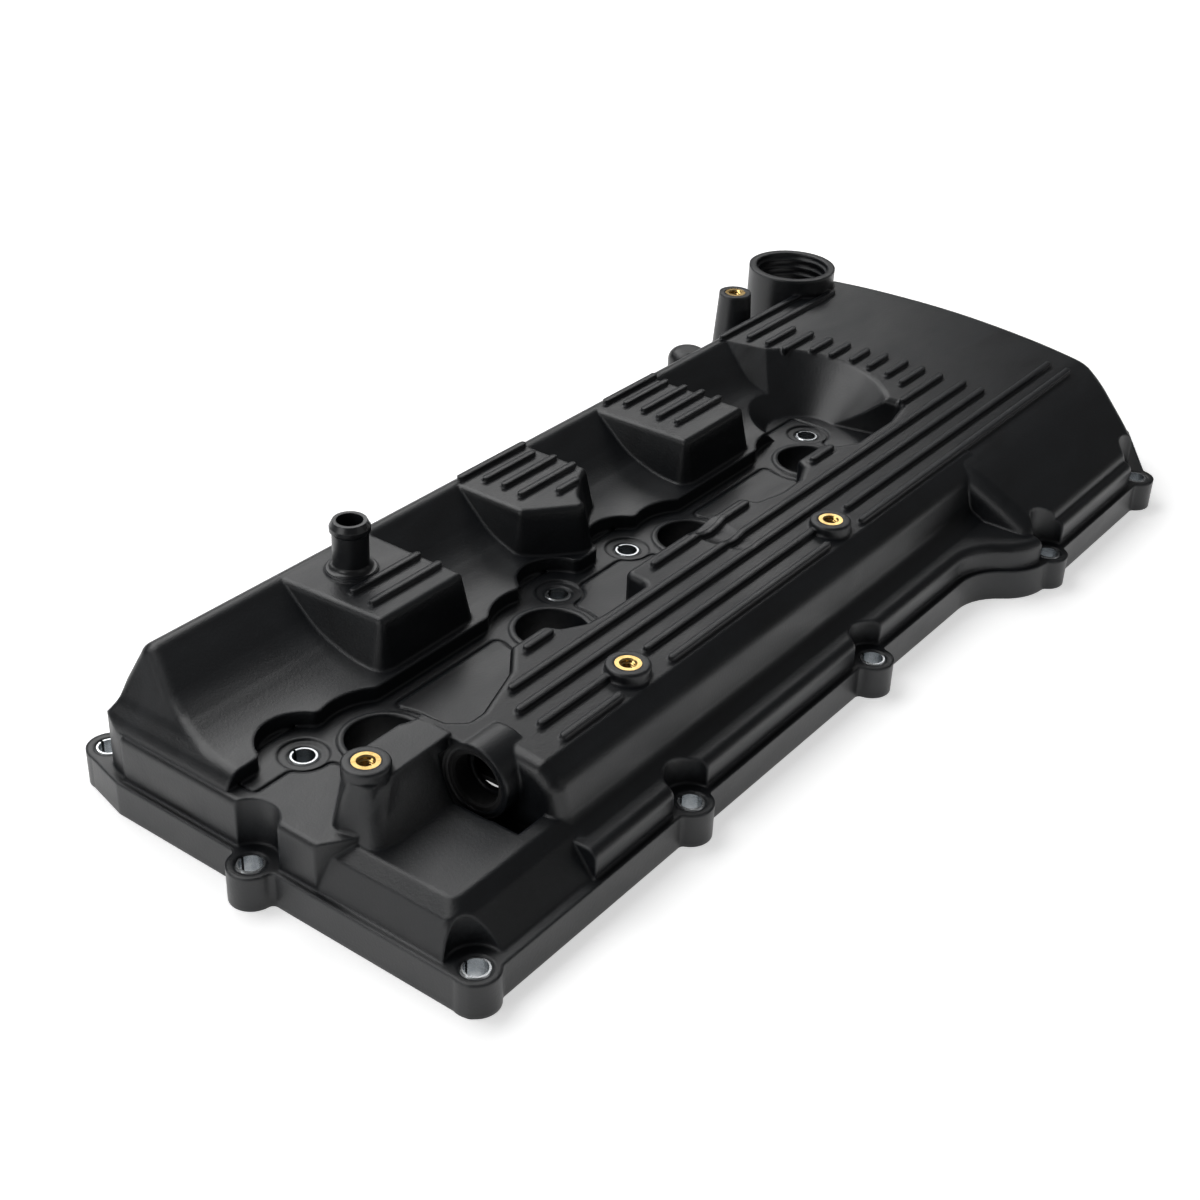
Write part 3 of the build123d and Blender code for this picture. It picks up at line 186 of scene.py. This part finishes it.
# ---------------------------------------------------------------- materials
def moulded_nylon(name, colours, grain, edge_radius, roughness, bite):
    """Glass-filled nylon from a spark-eroded steel mould: satin and finely grained, with faint flow
    patches where the glass lies differently, pale grain specks, and a highlight painted along edges and
    corners."""
    body_colour, flow_colour, speck_and_highlight_colour = [linear(colour) for colour in colours]
    material, output = new_material(name)
    place = add_node(material, "ShaderNodeTexCoord")
    fine = add_node(
        material, "ShaderNodeTexNoise", {"Scale": 1 / grain, "Detail": 3.0, "Roughness": 0.6},
        {"Vector": (place, "Object")},
    )
    flow_lie = add_node(
        material, "ShaderNodeMapping", {"Scale": (1.0, 2.6, 2.6)}, {"Vector": (place, "Object")}
    )
    flow = add_node(
        material, "ShaderNodeTexNoise",
        {"Scale": 18.0, "Detail": 5.0, "Roughness": 0.55, "Distortion": 0.6},
        {"Vector": (flow_lie, "Vector")},
    )
    flow_range = add_node(
        material, "ShaderNodeMapRange", {"From Min": 0.35, "From Max": 0.7}, {"Value": (flow, "Fac")}
    )
    body = add_node(
        material, "ShaderNodeMixRGB", {"Color1": body_colour, "Color2": flow_colour},
        {"Fac": (flow_range, "Result")},
    )
    speck_range = add_node(
        material, "ShaderNodeMapRange", {"From Min": 0.6, "From Max": 0.78, "To Max": 0.3},
        {"Value": (fine, "Fac")},
    )
    specked = add_node(
        material, "ShaderNodeMixRGB", {"Color2": speck_and_highlight_colour},
        {"Fac": (speck_range, "Result"), "Color1": (body, "Color")},
    )
    soft = add_node(material, "ShaderNodeBevel", {"Radius": edge_radius}, samples=6)
    shape = add_node(material, "ShaderNodeNewGeometry")
    turn = add_node(
        material, "ShaderNodeVectorMath", links={0: (soft, "Normal"), 1: (shape, "Normal")},
        operation="DOT_PRODUCT",
    )
    # Painted highlight: where the bevelled normal turns away from the true normal, along edges and in
    # corners, the colour is lightened towards the pale speck colour.
    edge_highlight_mask = add_node(
        material, "ShaderNodeMapRange",
        {"From Min": 0.8, "From Max": 0.99, "To Min": 0.45, "To Max": 0.0}, {"Value": (turn, "Value")},
    )
    highlit_colour = add_node(
        material, "ShaderNodeMixRGB", {"Color2": speck_and_highlight_colour},
        {"Fac": (edge_highlight_mask, "Result"), "Color1": (specked, "Color")},
    )
    gloss = add_node(
        material, "ShaderNodeMapRange",
        {"From Min": 0.3, "From Max": 0.7, "To Min": roughness - 0.05, "To Max": roughness + 0.07},
        {"Value": (flow, "Fac")},
    )
    relief = add_node(
        material, "ShaderNodeBump", {"Strength": bite, "Distance": 0.25 * MM},
        {"Height": (fine, "Fac"), "Normal": (soft, "Normal")},
    )
    shader = add_node(
        material, "ShaderNodeBsdfPrincipled", {"IOR": 1.53},
        {"Base Color": (highlit_colour, "Color"), "Roughness": (gloss, "Result"), "Normal": (relief, "Normal")},
    )
    material.node_tree.links.new(shader.outputs["BSDF"], output.inputs["Surface"])
    return material


def moulded_rubber(name):
    """Compression-moulded acrylic rubber: dull and near black, with a bloom of mould powder."""
    material, output = new_material(name)
    place = add_node(material, "ShaderNodeTexCoord")
    skin = add_node(
        material, "ShaderNodeTexNoise", {"Scale": 700.0, "Detail": 2.0}, {"Vector": (place, "Object")}
    )
    powder = add_node(
        material, "ShaderNodeTexNoise", {"Scale": 45.0, "Detail": 4.0}, {"Vector": (place, "Object")}
    )
    powder_range = add_node(
        material, "ShaderNodeMapRange", {"From Min": 0.5, "From Max": 0.75, "To Max": 0.7},
        {"Value": (powder, "Fac")},
    )
    colour = add_node(
        material, "ShaderNodeMixRGB", {"Color1": linear("#161617"), "Color2": linear("#2b2b2c")},
        {"Fac": (powder_range, "Result")},
    )
    relief = add_node(
        material, "ShaderNodeBump", {"Strength": 0.25, "Distance": 0.2 * MM}, {"Height": (skin, "Fac")}
    )
    shader = add_node(
        material, "ShaderNodeBsdfPrincipled", {"IOR": 1.52, "Roughness": 0.72},
        {"Base Color": (colour, "Color"), "Normal": (relief, "Normal")},
    )
    material.node_tree.links.new(shader.outputs["BSDF"], output.inputs["Surface"])
    return material


def turned_metal(name, bright, dull, roughness, line_height, tarnish_size):
    """Metal with fine turning lines stacked up its height and a light, patchy tarnish."""
    material, output = new_material(name)
    place = add_node(material, "ShaderNodeTexCoord")
    lie = add_node(
        material, "ShaderNodeMapping", {"Scale": (40.0, 40.0, 1 / line_height)},
        {"Vector": (place, "Object")},
    )
    lines = add_node(
        material, "ShaderNodeTexNoise", {"Scale": 1.0, "Detail": 2.0}, {"Vector": (lie, "Vector")}
    )
    tarnish = add_node(
        material, "ShaderNodeTexNoise", {"Scale": 1 / tarnish_size, "Detail": 4.0},
        {"Vector": (place, "Object")},
    )
    tarnish_range = add_node(
        material, "ShaderNodeMapRange", {"From Min": 0.45, "From Max": 0.75},
        {"Value": (tarnish, "Fac")},
    )
    colour = add_node(
        material, "ShaderNodeMixRGB", {"Color1": linear(bright), "Color2": linear(dull)},
        {"Fac": (tarnish_range, "Result")},
    )
    gloss = add_node(
        material, "ShaderNodeMapRange", {"To Min": roughness - 0.06, "To Max": roughness + 0.08},
        {"Value": (lines, "Fac")},
    )
    relief = add_node(
        material, "ShaderNodeBump", {"Strength": 0.12, "Distance": 0.05 * MM},
        {"Height": (lines, "Fac")},
    )
    shader = add_node(
        material, "ShaderNodeBsdfPrincipled", {"Metallic": 1.0},
        {"Base Color": (colour, "Color"), "Roughness": (gloss, "Result"), "Normal": (relief, "Normal")},
    )
    material.node_tree.links.new(shader.outputs["BSDF"], output.inputs["Surface"])
    return material


def studio_white(name, colour, seen_level):
    """Matt white paper: it keeps the object's shadow, and the eye and reflections see it lifted
    by a glow that puts no light on the object and grows to full white away from the middle."""
    material, output = new_material(name)
    place = add_node(material, "ShaderNodeTexCoord")
    fibre = add_node(
        material, "ShaderNodeTexNoise", {"Scale": 300.0, "Detail": 3.0}, {"Vector": (place, "Object")}
    )
    relief = add_node(
        material, "ShaderNodeBump", {"Strength": 0.05, "Distance": 0.1 * MM},
        {"Height": (fibre, "Fac")},
    )
    paper = add_node(
        material, "ShaderNodeBsdfDiffuse", {"Color": linear(colour)}, {"Normal": (relief, "Normal")}
    )
    path = add_node(material, "ShaderNodeLightPath")
    seen = add_node(
        material, "ShaderNodeMath",
        links={0: (path, "Is Camera Ray"), 1: (path, "Is Glossy Ray")}, operation="ADD",
    )
    seen_any = add_node(
        material, "ShaderNodeMath",
        links={0: (seen, "Value"), 1: (path, "Is Transmission Ray")}, operation="ADD", use_clamp=True,
    )
    reach = add_node(
        material, "ShaderNodeVectorMath", links={0: (place, "Object")}, operation="LENGTH"
    )
    lift = add_node(
        material, "ShaderNodeMapRange",
        {"From Min": 0.45, "From Max": 1.3, "To Min": seen_level, "To Max": 1.0},
        {"Value": (reach, "Value")}, interpolation_type="SMOOTHSTEP",
    )
    level = add_node(
        material, "ShaderNodeMath", links={0: (seen_any, "Value"), 1: (lift, "Result")},
        operation="MULTIPLY",
    )
    glow = add_node(
        material, "ShaderNodeEmission", {"Color": (1.0, 1.0, 1.0, 1.0)}, {"Strength": (level, "Value")}
    )
    both = add_node(material, "ShaderNodeAddShader", links={0: (paper, "BSDF"), 1: (glow, "Emission")})
    material.node_tree.links.new(both.outputs["Shader"], output.inputs["Surface"])
    return material


# ---------------------------------------------------------------- pieces
class VALVECOVER_OT_finish_shell(bpy.types.Operator):
    """Finishes the moulded cover shell"""

    bl_idname = "valvecover.finish_shell"
    bl_label = "Finish the cover shell"

    def execute(self, context):
        look = context.scene.valve_cover_finish
        colours = (look.nylon_colour, look.nylon_bloom, look.speck_and_highlight_colour)
        nylon = moulded_nylon(
            "moulded_glass_filled_nylon", colours, grain=look.grain, edge_radius=look.edge_radius,
            roughness=0.37, bite=0.3,
        )
        finish_node(SHELL, nylon)
        return {"FINISHED"}


class VALVECOVER_OT_finish_nipple(bpy.types.Operator):
    """Finishes the hose nipple, which comes from a polished mould"""

    bl_idname = "valvecover.finish_nipple"
    bl_label = "Finish the hose nipple"

    def execute(self, context):
        # The third colour serves the pale grain specks and the highlight painted along edges and
        # corners.
        nylon = moulded_nylon(
            "polished_mould_nylon", ("#141517", "#1b1d20", "#3a3d42"),
            grain=2.0 * MM, edge_radius=0.6 * MM, roughness=0.3, bite=0.06,
        )
        finish_node(NIPPLE, nylon)
        return {"FINISHED"}


class VALVECOVER_OT_finish_baffles(bpy.types.Operator):
    """Finishes the two oil baffles under the deck"""

    bl_idname = "valvecover.finish_baffles"
    bl_label = "Finish the baffles"

    def execute(self, context):
        # The third colour serves the pale grain specks and the highlight painted along edges and
        # corners.
        nylon = moulded_nylon(
            "mineral_filled_nylon", ("#1c1c1d", "#272728", "#3c3c3d"),
            grain=1.4 * MM, edge_radius=0.5 * MM, roughness=0.52, bite=0.25,
        )
        for name in BAFFLES:
            finish_node(name, nylon)
        return {"FINISHED"}


class VALVECOVER_OT_finish_seals(bpy.types.Operator):
    """Finishes the gasket and the plug tube seals"""

    bl_idname = "valvecover.finish_seals"
    bl_label = "Finish the rubber seals"

    def execute(self, context):
        rubber = moulded_rubber("moulded_acrylic_rubber")
        for name in SEALS:
            finish_node(name, rubber)
        return {"FINISHED"}


class VALVECOVER_OT_finish_sleeves(bpy.types.Operator):
    """Finishes the rolled steel sleeves"""

    bl_idname = "valvecover.finish_sleeves"
    bl_label = "Finish the bolt sleeves"

    def execute(self, context):
        metal = context.scene.valve_cover_metal
        zinc = turned_metal(
            "zinc_plated_steel", metal.zinc_colour, "#aeb2b6",
            roughness=0.24, line_height=0.35 * MM, tarnish_size=6 * MM,
        )
        for name in FLANGE_SLEEVES + CENTRE_SLEEVES:
            finish_node(name, zinc)
        return {"FINISHED"}


class VALVECOVER_OT_thread_inserts(bpy.types.Operator):
    """Finishes the brass inserts and cuts their threads as helical ridges"""

    bl_idname = "valvecover.thread_inserts"
    bl_label = "Thread the brass inserts"

    def execute(self, context):
        metal = context.scene.valve_cover_metal
        brass = turned_metal(
            "turned_brass", metal.brass_colour, "#b08c4c",
            roughness=0.22, line_height=0.3 * MM, tarnish_size=4 * MM,
        )
        for name in INSERTS:
            finish_node(name, brass)
            low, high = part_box(name)
            thread = helical_ridge(
                name.replace("thread_insert", "insert_thread"),
                ((low[0] + high[0]) / 2, (low[1] + high[1]) / 2),
                (low[2] + THREAD_END_GAP, high[2] - THREAD_END_GAP), THREAD_WALL_RADIUS,
                metal.thread_pitch, metal.thread_depth,
            )
            thread.data.materials.append(brass)
            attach(thread, "root")
        return {"FINISHED"}


THREAD_WALL_RADIUS = 3.0 * MM
THREAD_END_GAP = 0.9 * MM
RIDGE_SUNK = 0.05 * MM
RIDGE_ROOT_SHARE = 0.86
RIDGE_CREST_SHARE = 0.18
RIDGE_STEPS = 32
MERGE_REACH = 0.001 * MM


def helical_ridge(name, centre, heights, wall_radius, pitch, depth):
    """A thread ridge with a narrow crest, wound up the inside of a round bore."""
    deselect_all()
    middle = wall_radius + RIDGE_SUNK - (depth + RIDGE_SUNK) / 2
    bpy.ops.mesh.primitive_plane_add(
        size=1, location=(centre[0] + middle, centre[1], heights[0]), rotation=(math.pi / 2, 0, 0)
    )
    ridge = bpy.context.object
    ridge.name = name
    ridge.data.name = name
    ridge.scale = (depth + RIDGE_SUNK, pitch * RIDGE_ROOT_SHARE, 1)
    settle(ridge)
    bpy.ops.object.mode_set(mode="EDIT")
    bpy.ops.mesh.select_all(action="DESELECT")
    bpy.ops.object.mode_set(mode="OBJECT")
    for vertex in ridge.data.vertices:
        vertex.select = vertex.co.x < centre[0] + middle
    bpy.ops.object.mode_set(mode="EDIT")
    bpy.ops.transform.resize(
        value=(1, 1, RIDGE_CREST_SHARE), center_override=(centre[0], centre[1], heights[0])
    )
    bpy.ops.object.mode_set(mode="OBJECT")
    bpy.context.scene.cursor.location = (centre[0], centre[1], heights[0])
    bpy.ops.object.origin_set(type="ORIGIN_CURSOR")
    turns = int((heights[1] - heights[0]) / pitch)
    screw = ridge.modifiers.new("winding", "SCREW")
    screw.axis = "Z"
    screw.angle = 2 * math.pi
    screw.iterations = turns
    screw.screw_offset = pitch
    screw.steps = RIDGE_STEPS
    screw.render_steps = RIDGE_STEPS
    screw.use_merge_vertices = True
    screw.merge_threshold = MERGE_REACH
    bpy.ops.object.modifier_apply(modifier="winding")
    bpy.ops.object.mode_set(mode="EDIT")
    bpy.ops.mesh.select_all(action="SELECT")
    bpy.ops.mesh.remove_doubles(threshold=MERGE_REACH)
    bpy.ops.mesh.fill_holes(sides=4)
    bpy.ops.mesh.normals_make_consistent(inside=False)
    bpy.ops.object.mode_set(mode="OBJECT")
    bpy.ops.object.shade_smooth_by_angle(angle=math.radians(35))
    settle(ridge)
    return ridge


# ---------------------------------------------------------------- studio
CAMERA_PLACE = (-626.5 * MM, -396.6 * MM, 448.8 * MM)
CAMERA_AZIMUTH = 35.764
CAMERA_DEPRESSION = 31.233
CAMERA_ROLL = -2.439
CAMERA_LENS = 55.57
FLOOR_HALF = 4.0
FLOOR_DROP = 0.1 * MM
FLOOR_GLOW = 0.55
# each lamp: name, place, point it faces, width and height, its setting and its share of that
LAMPS = (
    ("lamp_above", (-0.1, 0.75, 1.3), (0.0, 0.0, 0.0), (1.5, 0.9), "key_power", 1.0),
    ("lamp_near_left", (-1.6, 0.3, 0.55), (0.0, 0.0, 0.03), (0.9, 0.7), "side_power", 1.0),
    ("lamp_behind", (0.95, 1.1, 1.0), (-0.1, 0.0, 0.03), (1.6, 0.5), "side_power", 1.2),
    ("lamp_right", (0.3, -1.6, 0.8), (0.0, 0.0, 0.03), (1.4, 0.8), "side_power", 0.2),
)


def camera_turn():
    """The camera's rotation from its azimuth, depression and roll."""
    azimuth, down = math.radians(CAMERA_AZIMUTH), math.radians(CAMERA_DEPRESSION)
    forward = Vector(
        (math.cos(azimuth) * math.cos(down), math.sin(azimuth) * math.cos(down), -math.sin(down))
    )
    level_right = Vector((math.sin(azimuth), -math.cos(azimuth), 0))
    level_up = level_right.cross(forward)
    roll = math.radians(CAMERA_ROLL)
    right = level_right * math.cos(roll) - level_up * math.sin(roll)
    up = level_right * math.sin(roll) + level_up * math.cos(roll)
    return Matrix((right, up, -forward)).transposed().to_euler()


def area_lamp(name, place, aim, size, power):
    """A large soft lamp at a place, turned towards a point."""
    data = bpy.data.lights.new(name, "AREA")
    data.shape = "RECTANGLE"
    data.size, data.size_y = size
    data.energy = power
    lamp = bpy.data.objects.new(name, data)
    lamp.location = place
    lamp.rotation_euler = (Vector(aim) - Vector(place)).to_track_quat("-Z", "Y").to_euler()
    bpy.context.scene.collection.objects.link(lamp)
    return lamp


class VALVECOVER_OT_build_studio(bpy.types.Operator):
    """Builds the floor, the soft lamps and the camera"""

    bl_idname = "valvecover.build_studio"
    bl_label = "Build the studio"

    def execute(self, context):
        studio = context.scene.valve_cover_studio
        deselect_all()
        bpy.ops.mesh.primitive_plane_add(
            size=2 * FLOOR_HALF, location=(0, 0, cad_low[2] - FLOOR_DROP)
        )
        floor = context.object
        floor.name = "studio_floor"
        settle(floor)
        floor.data.materials.append(studio_white("matt_white_paper", studio.floor_colour, FLOOR_GLOW))
        for name, place, aim, size, setting, share in LAMPS:
            area_lamp(name, place, aim, size, getattr(studio, setting) * share)
        self.light_room(context, studio.sky_level)
        view = bpy.data.cameras.new("studio_camera")
        view.sensor_width = 36.0
        view.lens = CAMERA_LENS
        view.clip_start, view.clip_end = 0.01, 20.0
        camera = bpy.data.objects.new("studio_camera", view)
        camera.location = CAMERA_PLACE
        camera.rotation_euler = camera_turn()
        context.scene.collection.objects.link(camera)
        context.scene.camera = camera
        context.scene.view_settings.view_transform = "Standard"
        return {"FINISHED"}

    def light_room(self, context, level):
        """Even light from the room, which the eye sees as white."""
        world = bpy.data.worlds.new("studio_room")
        world.use_nodes = True
        world.node_tree.nodes.clear()
        context.scene.world = world
        output = add_node(world, "ShaderNodeOutputWorld")
        path = add_node(world, "ShaderNodeLightPath")
        strength = add_node(
            world, "ShaderNodeMapRange", {"To Min": level, "To Max": 1.0},
            {"Value": (path, "Is Camera Ray")},
        )
        room = add_node(
            world, "ShaderNodeBackground", {"Color": (1.0, 1.0, 1.0, 1.0)},
            {"Strength": (strength, "Result")},
        )
        world.node_tree.links.new(room.outputs["Background"], output.inputs["Surface"])


class VALVECOVER_PT_panel(bpy.types.Panel):
    """Lists the cover's settings and its steps"""

    bl_idname = "VALVECOVER_PT_panel"
    bl_label = "Valve Cover"
    bl_space_type = "VIEW_3D"
    bl_region_type = "UI"
    bl_category = "Valve Cover"

    def draw(self, context):
        for group in (
            context.scene.valve_cover_finish,
            context.scene.valve_cover_metal,
            context.scene.valve_cover_studio,
        ):
            for key in group.bl_rna.properties.keys():
                if key not in ("rna_type", "name"):
                    self.layout.prop(group, key)
        for step in STEPS:
            self.layout.operator(step.bl_idname)


STEPS = (
    VALVECOVER_OT_finish_shell,
    VALVECOVER_OT_finish_nipple,
    VALVECOVER_OT_finish_baffles,
    VALVECOVER_OT_finish_seals,
    VALVECOVER_OT_finish_sleeves,
    VALVECOVER_OT_thread_inserts,
    VALVECOVER_OT_build_studio,
)
GROUPS = (ValveCoverFinish, ValveCoverMetal, ValveCoverStudio)


def register():
    """Registers the settings, the steps and the panel."""
    for kind in GROUPS + STEPS + (VALVECOVER_PT_panel,):
        bpy.utils.register_class(kind)
    bpy.types.Scene.valve_cover_finish = bpy.props.PointerProperty(type=ValveCoverFinish)
    bpy.types.Scene.valve_cover_metal = bpy.props.PointerProperty(type=ValveCoverMetal)
    bpy.types.Scene.valve_cover_studio = bpy.props.PointerProperty(type=ValveCoverStudio)


def unregister():
    """Takes the settings, the steps and the panel away again."""
    del bpy.types.Scene.valve_cover_finish
    del bpy.types.Scene.valve_cover_metal
    del bpy.types.Scene.valve_cover_studio
    for kind in reversed(GROUPS + STEPS + (VALVECOVER_PT_panel,)):
        bpy.utils.unregister_class(kind)


def main():
    """Runs every step in order."""
    register()
    bpy.ops.valvecover.finish_shell()
    bpy.ops.valvecover.finish_nipple()
    bpy.ops.valvecover.finish_baffles()
    bpy.ops.valvecover.finish_seals()
    bpy.ops.valvecover.finish_sleeves()
    bpy.ops.valvecover.thread_inserts()
    bpy.ops.valvecover.build_studio()


if __name__ == "__main__":
    main()
